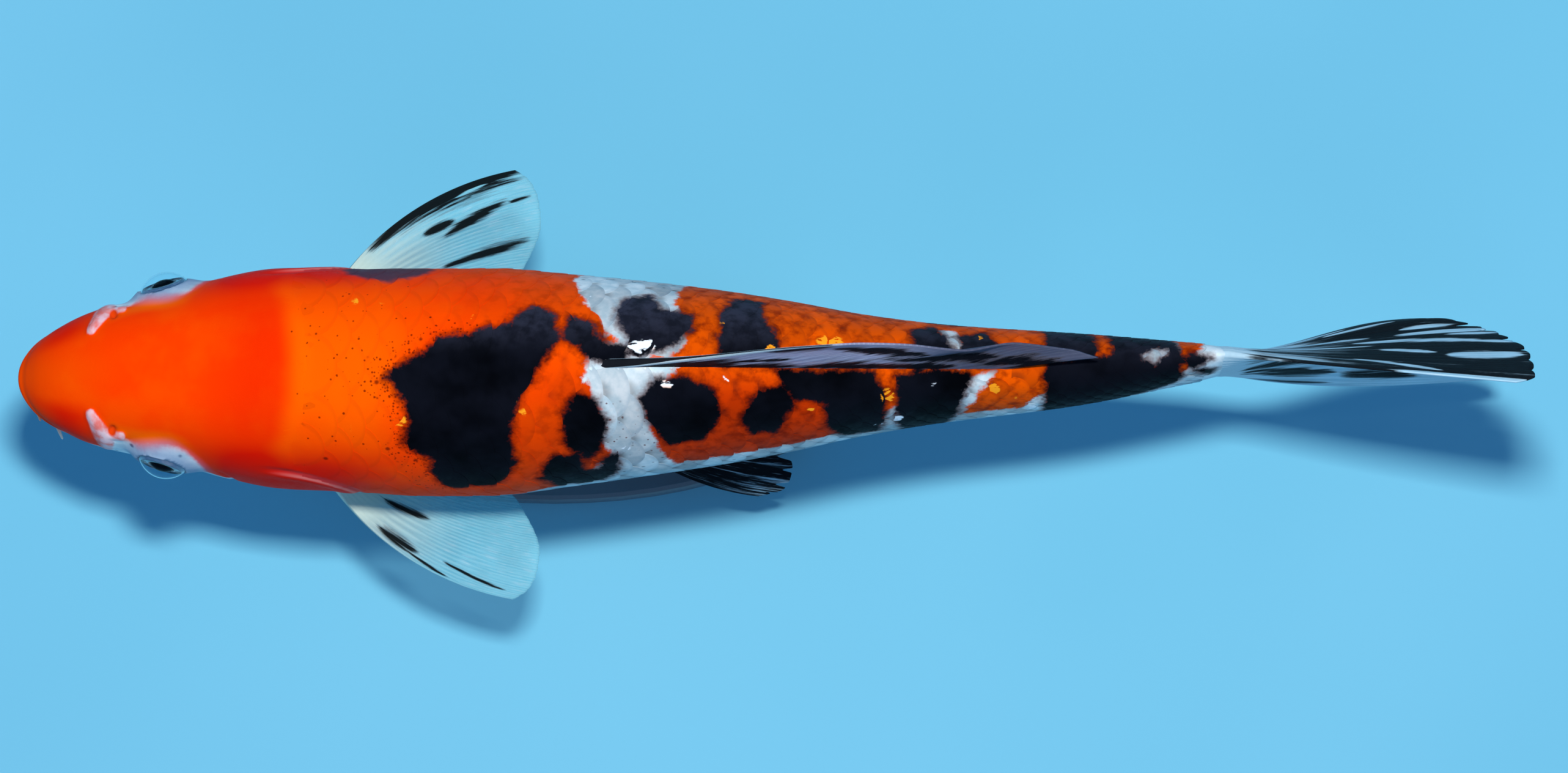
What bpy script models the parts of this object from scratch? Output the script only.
"""Koi carp, a still life-size model held over a small stand.

Lengths below are in millimetres along the fish: x runs back from the tip of the snout, y to the fish's
right and z up from its long axis. An empty, fish_axis, carries that frame, and the origin of the whole
model is the middle of the stand's underside.
"""
import math

import bmesh
import bpy
import numpy as np
from mathutils import Matrix

MM = 0.001

# ---- Overall sizes, mm ----
SNOUT = -1.0
TOTAL_LENGTH = 395.0
STANDARD_LENGTH = 317.0
HEAD_END = 70.0
TRUNK_SPLIT = 165.0
STALK_START = 238.0
CUT_GAP = 0.3
RING_POINTS = 40

# ---- Stand, mm ----
AXIS_HEIGHT = 72.0
STAND_AT = 138.0
BASE_HALF_LENGTH = 72.0
BASE_HALF_WIDTH = 27.0
BASE_THICKNESS = 8.0
ROD_RADIUS = 2.5
ROD_STATIONS = {"stand_rod_front": 108.0, "stand_rod_rear": 190.0}

# ---- Lines of the body: (x, value) stations, mm ----
HALF_WIDTH = ((-1, 0), (1, 5.7), (4, 9.3), (9, 12.9), (19, 17.6), (38, 22.0), (46, 24.2), (53, 26.2),
              (67, 28.6), (86, 29.4), (105, 30.1), (125, 30.0), (145, 28.0), (183, 23.2), (203, 19.8),
              (222, 16.0), (241, 13.2), (280, 9.4), (317, 4.0))
BACK = ((-1, -3), (2, 2.9), (5, 6.2), (10, 10.2), (20, 15.8), (40, 24.0), (60, 31.0), (85, 38.0), (120, 43.3),
        (145, 44.5), (170, 42.3), (210, 34.0), (250, 24.8), (285, 19.0), (302, 18.3), (317, 19.3))
BELLY = ((-1, -3), (2, -7.4), (5, -9.7), (10, -12.4), (20, -16.6), (40, -23.8), (55, -28.5), (85, -36.0),
         (120, -41.0), (145, -41.8), (180, -38.2), (220, -29.8), (260, -20.8), (285, -18.0), (302, -17.7),
         (317, -18.7))
SPINE = ((-1, 0.3), (60, 0.3), (110, -1.0), (165, 0.0), (220, 0.8), (270, 2.0), (317, 4.5))
WIDEST_Z = ((-1, -3.0), (40, -3.0), (100, 0.0), (317, 0.0))
BACK_POWER = ((-1, 2.2), (25, 2.5), (60, 2.35), (100, 2.0), (150, 1.85), (240, 2.0), (317, 2.0))
BELLY_POWER = ((-1, 2.0), (60, 2.05), (120, 2.15), (200, 2.05), (317, 2.0))

# ---- Head details, mm ----
EYE_AT = (38.9, 19.8, 5.0)
EYE_RADIUS = 7.6
ORBIT_AT = (40.7, 18.9, 4.4)
ORBIT_HALF = (11.0, 7.2, 9.4)
GAPE = ((-5.0, -1.2), (12.0, -7.8), (19.0, -30.0), (-5.0, -30.0))
GILL_CENTRE = (69.0, -3.5)
GILL_HALF = (19.8, 18.5)
GILL_THICKNESS = 2.2


def smooth(stops):
    """A smooth curve without overshoot through (t, value) stops, as a function of t."""
    q = np.array([float(stop[0]) for stop in stops])
    v = np.array([float(stop[1]) for stop in stops])
    step = np.diff(q)
    rise = np.diff(v) / step
    slope = np.zeros(len(v))
    slope[0] = rise[0]
    slope[-1] = rise[-1]
    for i in range(1, len(v) - 1):
        if rise[i - 1] * rise[i] > 0:
            a = 2 * step[i] + step[i - 1]
            b = step[i] + 2 * step[i - 1]
            slope[i] = (a + b) / (a / rise[i - 1] + b / rise[i])

    def value(t):
        i = int(np.clip(np.searchsorted(q, t) - 1, 0, len(step) - 1))
        h = step[i]
        t = min(max((t - q[i]) / h, 0.0), 1.0)
        return float((1 + 2 * t) * (1 - t) ** 2 * v[i] + t * (1 - t) ** 2 * h * slope[i]
                     + t * t * (3 - 2 * t) * v[i + 1] + t * t * (t - 1) * h * slope[i + 1])
    return value


def curve_through(stations):
    """The same along the body, drawn against the root of the distance so that the snout is round."""
    along = smooth([(math.sqrt(x - SNOUT), v) for x, v in stations])
    return lambda x: along(math.sqrt(max(x - SNOUT, 0.0)))


half_width = curve_through(HALF_WIDTH)
back = curve_through(BACK)
belly = curve_through(BELLY)
spine = curve_through(SPINE)
widest_z = curve_through(WIDEST_Z)
back_power = curve_through(BACK_POWER)
belly_power = curve_through(BELLY_POWER)


def lerp(a, b, t):
    return a + (b - a) * t


def section(x, grow=0.0, count=RING_POINTS):
    """One cross-section of the body: a superellipse, fuller above on the head, narrower at the dorsal."""
    w = half_width(x) + grow
    mid = widest_z(x)
    points = []
    for k in range(count):
        a = math.tau * k / count
        c, s = math.cos(a), math.sin(a)
        power = back_power(x) if s >= 0 else belly_power(x)
        reach = (back(x) - mid if s >= 0 else mid - belly(x)) + grow
        z = mid + math.copysign(reach * abs(s) ** (2 / power), s)
        y = math.copysign(w * abs(c) ** (2 / power), c)
        points.append((x, spine(x) + y, z))
    return points


def flank(x, z):
    """Half-width of the body at height z."""
    mid = widest_z(x)
    if z >= mid:
        power, part = back_power(x), (z - mid) / (back(x) - mid)
    else:
        power, part = belly_power(x), (mid - z) / (mid - belly(x))
    return half_width(x) * max(1 - min(part, 1.0) ** power, 0.0) ** (1 / power)


def clear_scene():
    for item in list(bpy.data.objects):
        bpy.data.objects.remove(item, do_unlink=True)


def material(name, colour, roughness, metallic=0.0):
    mat = bpy.data.materials.new(name)
    mat.use_nodes = True
    shader = mat.node_tree.nodes["Principled BSDF"]
    shader.inputs["Base Color"].default_value = (*colour, 1.0)
    shader.inputs["Roughness"].default_value = roughness
    shader.inputs["Metallic"].default_value = metallic
    mat.diffuse_color = (*colour, 1.0)
    return mat


def add_object(name, bm, mat, parent):
    """Turns millimetres into metres, points the faces out and puts the piece under its parent."""
    bmesh.ops.recalc_face_normals(bm, faces=bm.faces)
    bmesh.ops.scale(bm, vec=(MM, MM, MM), verts=bm.verts)
    mesh = bpy.data.meshes.new(name)
    bm.to_mesh(mesh)
    bm.free()
    mesh.shade_smooth()
    mesh.set_sharp_from_angle(angle=math.radians(50))
    item = bpy.data.objects.new(name, mesh)
    bpy.context.scene.collection.objects.link(item)
    item.parent = parent
    if mat:
        mesh.materials.append(mat)
    return item


def as_cutter(item):
    item.hide_render = True
    item.display_type = "WIRE"
    return item


def boolean(item, tool, operation="DIFFERENCE"):
    step = item.modifiers.new(f"{operation.lower()}_{tool.name}", "BOOLEAN")
    step.operation = operation
    step.solver = "EXACT"
    step.object = tool


def bridge(bm, first, second):
    """Side faces between two rings of equal count."""
    n = len(first)
    for i in range(n):
        j = (i + 1) % n
        bm.faces.new((first[i], first[j], second[j], second[i]))


def loft(name, stations, mat, parent, grow=0.0, tip=False):
    """A closed body through the cross-sections at the given stations, pointed at the snout if tip."""
    bm = bmesh.new()
    rings = [[bm.verts.new(p) for p in section(x, grow)] for x in stations]
    for a, b in zip(rings, rings[1:]):
        bridge(bm, a, b)
    if tip:
        nose = bm.verts.new((SNOUT - grow, spine(SNOUT), back(SNOUT)))
        for i, v in enumerate(rings[0]):
            bm.faces.new((v, rings[0][(i + 1) % len(rings[0])], nose))
    else:
        bm.faces.new(rings[0])
    bm.faces.new(rings[-1])
    return add_object(name, bm, mat, parent)


def prism(name, outline, y_from, y_to, parent):
    """An outline in x and z carried across the fish."""
    bm = bmesh.new()
    rings = [[bm.verts.new((x, y, z)) for x, z in outline] for y in (y_from, y_to)]
    bridge(bm, *rings)
    for ring in rings:
        bm.faces.new(ring)
    return as_cutter(add_object(name, bm, None, parent))


def egg(side, reach, inner, outer, spokes=22, steps=3):
    """A round plate on the flank between two depths, each measured out from the body's own surface."""
    bm = bmesh.new()
    faces = []
    for depth in (inner, outer):
        def place(x, z):
            y = spine(x) + side * (flank(x, z) + depth) if depth < 40 else side * depth
            return bm.verts.new((x, y, z))
        centre = place(*GILL_CENTRE)
        rings = []
        for k in range(1, steps + 1):
            ring = []
            for i in range(spokes):
                a = math.tau * i / spokes
                taper = 1 + 0.3 * min(math.sin(a) * math.cos(a), 0) * (math.sin(a) < 0)
                dx = (GILL_HALF[0] + reach) * taper * math.cos(a) * k / steps
                dz = (GILL_HALF[1] + reach) * taper * math.sin(a) * k / steps
                ring.append(place(GILL_CENTRE[0] + dx, GILL_CENTRE[1] + dz))
            rings.append(ring)
        for i in range(spokes):
            bm.faces.new((centre, rings[0][i], rings[0][(i + 1) % spokes]))
        for a, b in zip(rings, rings[1:]):
            bridge(bm, a, b)
        faces.append(rings[-1])
    bridge(bm, *faces)
    return bm


def sheet(name, surface, thickness, ts, rs, mat, parent, flat_root=False):
    """A closed fin: two faces, each half the thickness off surface(t, r), joined round the rim.
    A flat root lies in one plane across the fish, to meet the cut end of the tail stalk."""
    mid = np.array([[surface(t, r) for r in rs] for t in ts])
    along_t = np.gradient(mid, axis=0)
    along_r = np.gradient(mid, axis=1)
    normal = np.cross(along_t, along_r)
    if flat_root:
        normal[:, 0, 0] = 0
    normal /= np.linalg.norm(normal, axis=2)[:, :, None]
    half = np.array([[thickness(t, r) / 2 for r in rs] for t in ts])[:, :, None]
    bm = bmesh.new()
    sides = [[[bm.verts.new(p) for p in row] for row in mid + way * half * normal] for way in (1, -1)]
    rows, columns = len(ts), len(rs)
    for grid in sides:
        for i in range(rows - 1):
            for j in range(columns - 1):
                bm.faces.new((grid[i][j], grid[i + 1][j], grid[i + 1][j + 1], grid[i][j + 1]))
    rim = [(i, 0) for i in range(rows)] + [(rows - 1, j) for j in range(1, columns)]
    rim += [(i, columns - 1) for i in range(rows - 2, -1, -1)] + [(0, j) for j in range(columns - 2, 0, -1)]
    bridge(bm, *[[grid[i][j] for i, j in rim] for grid in sides])
    return add_object(name, bm, mat, parent)


def feeler(name, path, radii, mat, parent, sides=6):
    """A round tapering thread through the points of path."""
    bm = bmesh.new()
    path = np.array(path, float)
    way = np.gradient(path, axis=0)
    rings = []
    for p, d, r in zip(path, way, radii):
        d = d / np.linalg.norm(d)
        u = np.cross(d, (1.0, 0.0, 0.0))
        u /= np.linalg.norm(u)
        v = np.cross(d, u)
        ring = [p + r * (math.cos(math.tau * k / sides) * u + math.sin(math.tau * k / sides) * v)
                for k in range(sides)]
        rings.append([bm.verts.new(q) for q in ring])
    for a, b in zip(rings, rings[1:]):
        bridge(bm, a, b)
    bm.faces.new(rings[0])
    bm.faces.new(rings[-1])
    return add_object(name, bm, mat, parent)


def bent_ray(angle, bend, length, r):
    """Place along a ray that leaves at angle + bend and curves evenly to end at angle - bend."""
    if abs(bend) < 1e-4:
        return length * r * math.cos(angle), length * r * math.sin(angle)
    arc = length * bend / math.sin(bend)
    turn = angle + bend * (1 - 2 * r)
    forward = (math.sin(angle + bend) - math.sin(turn)) / (2 * bend)
    outward = (math.cos(turn) - math.cos(angle + bend)) / (2 * bend)
    return arc * forward, arc * outward


# ---- Fins: surface(t, r), t across the rays from the first to the last, r along them ----
PECTORAL_TIP_X = smooth(((0, 129.2), (0.12, 133), (0.25, 135.4), (0.4, 136), (0.7, 130.8), (0.85, 124),
                         (1, 112)))
PECTORAL_TIP_Y = smooth(((0, 59.1), (0.12, 56.3), (0.25, 51), (0.55, 39), (0.7, 32), (1, 16.5)))
PECTORAL_BEND = smooth(((0, 25), (0.3, 16), (1, 4)))
PELVIC_ANGLE = smooth(((0, 22.4), (0.25, 17.5), (0.7, 6.2), (1, -2)))
PELVIC_LENGTH = smooth(((0, 40.4), (0.25, 45), (0.45, 44), (0.7, 39), (1, 29)))
DORSAL_TIP_X = smooth(((0, 213.7), (0.2, 223), (0.4, 234), (0.6, 248), (1, 283)))
DORSAL_RISE = smooth(((0, 14.6), (0.2, 13.2), (0.6, 10), (1, 5)))
ANAL_FALL = smooth(((0, 50), (0.4, 42), (1, 25)))
ANAL_LENGTH = smooth(((0, 37), (0.15, 38.5), (0.45, 33), (1, 18)))
TAIL_END_X = smooth(((0, 368), (0.1, 374), (0.25, 383.5), (0.4, 388.5), (0.7, 393.9),
                     (0.85, TOTAL_LENGTH + SNOUT), (0.94, 393.6), (1, 390)))
TAIL_END_Z = smooth(((0, 0), (0.25, 11), (0.55, 28), (0.85, 44), (0.94, 48.5), (1, 50)))
TAIL_END_Y = smooth(((-1, 5), (0, 15.7), (0.1, 15.4), (0.25, 12.6), (0.55, 6.2), (0.85, -1.8), (1, -6.4)))


def pectoral(side):
    """Right fin (side 1) spread a little wider than the left."""
    spread = 1.0 if side > 0 else 0.93

    def surface(t, r):
        foot_x = lerp(78, 85, t)
        foot_y = lerp(21.5, 17.5, t)
        long, wide = PECTORAL_TIP_X(t) - foot_x, (PECTORAL_TIP_Y(t) - foot_y) * spread
        bend = math.radians(PECTORAL_BEND(t))
        dx, dy = bent_ray(math.atan2(wide, long), bend, math.hypot(long, wide), r)
        z = lerp(lerp(-19.5, -26, t), lerp(-22, -28, t), r) + 1.5 * math.sin(math.pi * r)
        return (foot_x + dx, spine(85) + side * (foot_y + dy), z)
    return surface


def pelvic(side):
    def surface(t, r):
        bend = math.radians(lerp(18, 2, t))
        dx, dy = bent_ray(math.radians(PELVIC_ANGLE(t)), bend, PELVIC_LENGTH(t), r)
        z = lerp(lerp(-35.5, -37.3, t), lerp(-48, -45, t), r)
        return (lerp(157, 165, t) + dx, side * (lerp(11.5, 9, t) + dy), z)
    return surface


def dorsal(t, r):
    """Folded back: every ray lies along the fish, and the rear of the fin leans to the right."""
    foot_x = lerp(150.6, 258.0, t)
    tip_x = DORSAL_TIP_X(t)
    x = lerp(foot_x, tip_x, r)
    arch = 1.4 * math.sin(math.pi * max(r, 0)) * (1 - t)
    z = lerp(back(foot_x) - 0.6, back(tip_x) + DORSAL_RISE(t), r) + arch
    return (x, spine(x) - 0.6 + lerp(0.06, 0.34, t ** 1.5) * (z - back(x)), z)


def anal(t, r):
    foot_x = lerp(236, 256, t)
    dx, dz = bent_ray(math.radians(ANAL_FALL(t)), math.radians(lerp(9, 2, t)), ANAL_LENGTH(t), r)
    x = foot_x + dx
    return (x, spine(x), belly(foot_x) + 1.5 - dz)


def caudal(t, r):
    """Tail: t from -1, lower edge, to 1, upper edge. The two lobes curl to different sides."""
    a = abs(t)
    foot_y = spine(STANDARD_LENGTH)
    share = lerp(math.sin(math.pi / 2 * r) ** 1.5, r ** 0.85, max(t, 0) ** 2)
    y = lerp(foot_y, TAIL_END_Y(t), share)
    if t < 0:
        edge = foot_y + 0.5 * r ** 3 - 2.7 * math.sin(math.pi * r ** 0.7)
        y = lerp(y, edge, a ** 2.5)
    sweep = 3.0 * math.sin(math.pi * r) * t
    z = lerp(18.6 * t + 0.3, math.copysign(TAIL_END_Z(a), t), r) + sweep
    return (lerp(STANDARD_LENGTH + CUT_GAP, TAIL_END_X(a), r), y, z)


def fin_thickness(root, tip=0.6):
    return lambda t, r: tip + (root - tip) * (1 - min(max(r, 0), 1)) ** 2.5


def caudal_thickness(t, r):
    root = 7.0 * math.sqrt(max(1 - t * t, 0.0)) + 1.0
    return 0.6 + (root - 0.6) * (1 - r) ** 5


def spaced(start, end, count, gather=1.0):
    return [lerp(start, end, (i / (count - 1)) ** gather) for i in range(count)]


# ---- Build ----
clear_scene()
fish = bpy.data.objects.new("fish_axis", None)
fish.location = (-STAND_AT * MM, 0, AXIS_HEIGHT * MM)
bpy.context.scene.collection.objects.link(fish)

orange = material("skin_orange", (0.86, 0.10, 0.006), 0.3)
mottled = material("skin_mottled", (0.42, 0.07, 0.012), 0.35)
dark = material("skin_dark", (0.05, 0.05, 0.06), 0.35)
fin_skin = material("fin_membrane", (0.55, 0.68, 0.70), 0.35)
feeler_skin = material("barbel_skin", (0.80, 0.35, 0.22), 0.4)
eye_skin = material("eye_globe", (0.03, 0.04, 0.05), 0.08)
paint = material("stand_paint", (0.035, 0.038, 0.042), 0.45)
steel = material("stand_steel", (0.62, 0.63, 0.65), 0.28, 1.0)

# Body lengths, parted by thin cuts
stations = {
    "head": [SNOUT + q * q for q in spaced(0.7, 4.9, 8)] + spaced(27.5, 48.5, 7) + spaced(53, HEAD_END, 4),
    "trunk_front": spaced(HEAD_END + CUT_GAP, TRUNK_SPLIT, 10),
    "trunk_rear": spaced(TRUNK_SPLIT + CUT_GAP, STALK_START, 7),
    "tail_stalk": spaced(STALK_START + CUT_GAP, STANDARD_LENGTH, 8),
}
skins = {"head": orange, "trunk_front": orange, "trunk_rear": mottled, "tail_stalk": dark}
body = {name: loft(name, xs, skins[name], fish, tip=name == "head") for name, xs in stations.items()}
body["lower_jaw"] = loft("lower_jaw", stations["head"][:9], orange, fish, tip=True)
clearance = as_cutter(loft("body_clearance", sum(stations.values(), []), None, fish, grow=CUT_GAP, tip=True))

# The gape parts the lower jaw from the head
boolean(body["lower_jaw"], prism("jaw_shape", GAPE, -40, 40, fish), "INTERSECT")
wider = ((-6.0, -0.4 + CUT_GAP), (12.2, -7.8 + CUT_GAP), (19.4, -30.0), (-6.0, -30.0))
boolean(body["head"], prism("jaw_clearance", wider, -40, 40, fish))

for side, label in ((1, "right"), (-1, "left")):
    # Eye, in a socket that clears it, inside a swollen rim
    for name, centre, half in ((f"eye_{label}", EYE_AT, [EYE_RADIUS] * 3),
                               (f"orbit_{label}", ORBIT_AT, ORBIT_HALF),
                               (f"socket_{label}", EYE_AT, [EYE_RADIUS + CUT_GAP] * 3)):
        bm = bmesh.new()
        bmesh.ops.create_uvsphere(bm, u_segments=18, v_segments=10, radius=1)
        bmesh.ops.rotate(bm, verts=bm.verts, matrix=Matrix.Rotation(math.pi / 2, 3, "X"))
        bmesh.ops.scale(bm, vec=half, verts=bm.verts)
        ball = add_object(name, bm, eye_skin, fish)
        ball.location = (centre[0] * MM, (spine(centre[0]) + side * centre[1]) * MM, centre[2] * MM)
        if name.startswith("orbit"):
            boolean(body["head"], as_cutter(ball), "UNION")
        if name.startswith("socket"):
            boolean(body["head"], as_cutter(ball))

    # Gill cover, let into the side of the head and the front of the trunk
    cover = add_object(f"gill_cover_{label}", egg(side, 0.0, -GILL_THICKNESS, 0.0), orange, fish)
    slot = as_cutter(add_object(f"gill_slot_{label}", egg(side, CUT_GAP, -GILL_THICKNESS - 2 * CUT_GAP, 50.0),
                                None, fish))
    boolean(body["head"], slot)
    boolean(body["trunk_front"], slot)

    # Barbels: a long one at each corner of the mouth, a short one on the upper lip
    for name, root, tip, radius in (("rear", (8.0, 9.9, -7.9), (9.2, 14.9, -15.5), 0.75),
                                    ("front", (3.6, 7.6, -4.2), (4.0, 10.6, -9.0), 0.6)):
        path = []
        for k in range(6):
            t = k / 5
            path.append((lerp(root[0], tip[0], t ** 1.4), 0.3 + side * lerp(root[1], tip[1], t ** 0.8),
                         lerp(root[2], tip[2], t)))
        thread = feeler(f"barbel_{name}_{label}", path, spaced(radius, 0.3, 6), feeler_skin, fish)
        boolean(thread, clearance)

    # Paired fins
    fin = sheet(f"pectoral_fin_{label}", pectoral(side), fin_thickness(3.0), spaced(0, 1, 11),
                spaced(0, 1, 9, 1.1), fin_skin, fish)
    boolean(fin, clearance)
    fin = sheet(f"pelvic_fin_{label}", pelvic(side), fin_thickness(2.4), spaced(0, 1, 7),
                spaced(0, 1, 7), fin_skin, fish)
    boolean(fin, clearance)

fin = sheet("dorsal_fin", dorsal, fin_thickness(3.0, 0.8), spaced(0, 1, 10), spaced(-0.04, 1, 7), dark, fish)
boolean(fin, clearance)
fin = sheet("anal_fin", anal, fin_thickness(2.4), spaced(0, 1, 7), spaced(0, 1, 7), dark, fish)
boolean(fin, clearance)
for name, first, last in (("tail_fin_upper", 0.011, 1), ("tail_fin_lower", -1, -0.011)):
    sheet(name, caudal, caudal_thickness, spaced(first, last, 11), spaced(0, 1, 10, 1.3), dark, fish, True)

# Stand: an oval base with an eased upper edge, and two rods up to the belly
bm = bmesh.new()
bmesh.ops.create_cone(bm, cap_ends=True, segments=48, radius1=1, radius2=1, depth=BASE_THICKNESS)
bmesh.ops.scale(bm, vec=(BASE_HALF_LENGTH, BASE_HALF_WIDTH, 1), verts=bm.verts)
rim = [e for e in bm.edges if all(v.co.z > 0 for v in e.verts)]
bmesh.ops.bevel(bm, geom=rim, offset=1.6, segments=2, affect="EDGES", profile=0.5)
base = add_object("stand_base", bm, paint, None)
base.location = (0, 0, BASE_THICKNESS / 2 * MM)
for name, x in ROD_STATIONS.items():
    bm = bmesh.new()
    top = AXIS_HEIGHT + belly(x) + 4
    bmesh.ops.create_cone(bm, cap_ends=True, segments=20, radius1=ROD_RADIUS, radius2=ROD_RADIUS,
                          depth=top - BASE_THICKNESS)
    rod = add_object(name, bm, steel, None)
    rod.location = ((x - STAND_AT) * MM, spine(x) * MM, (top + BASE_THICKNESS) / 2 * MM)
    boolean(rod, clearance)
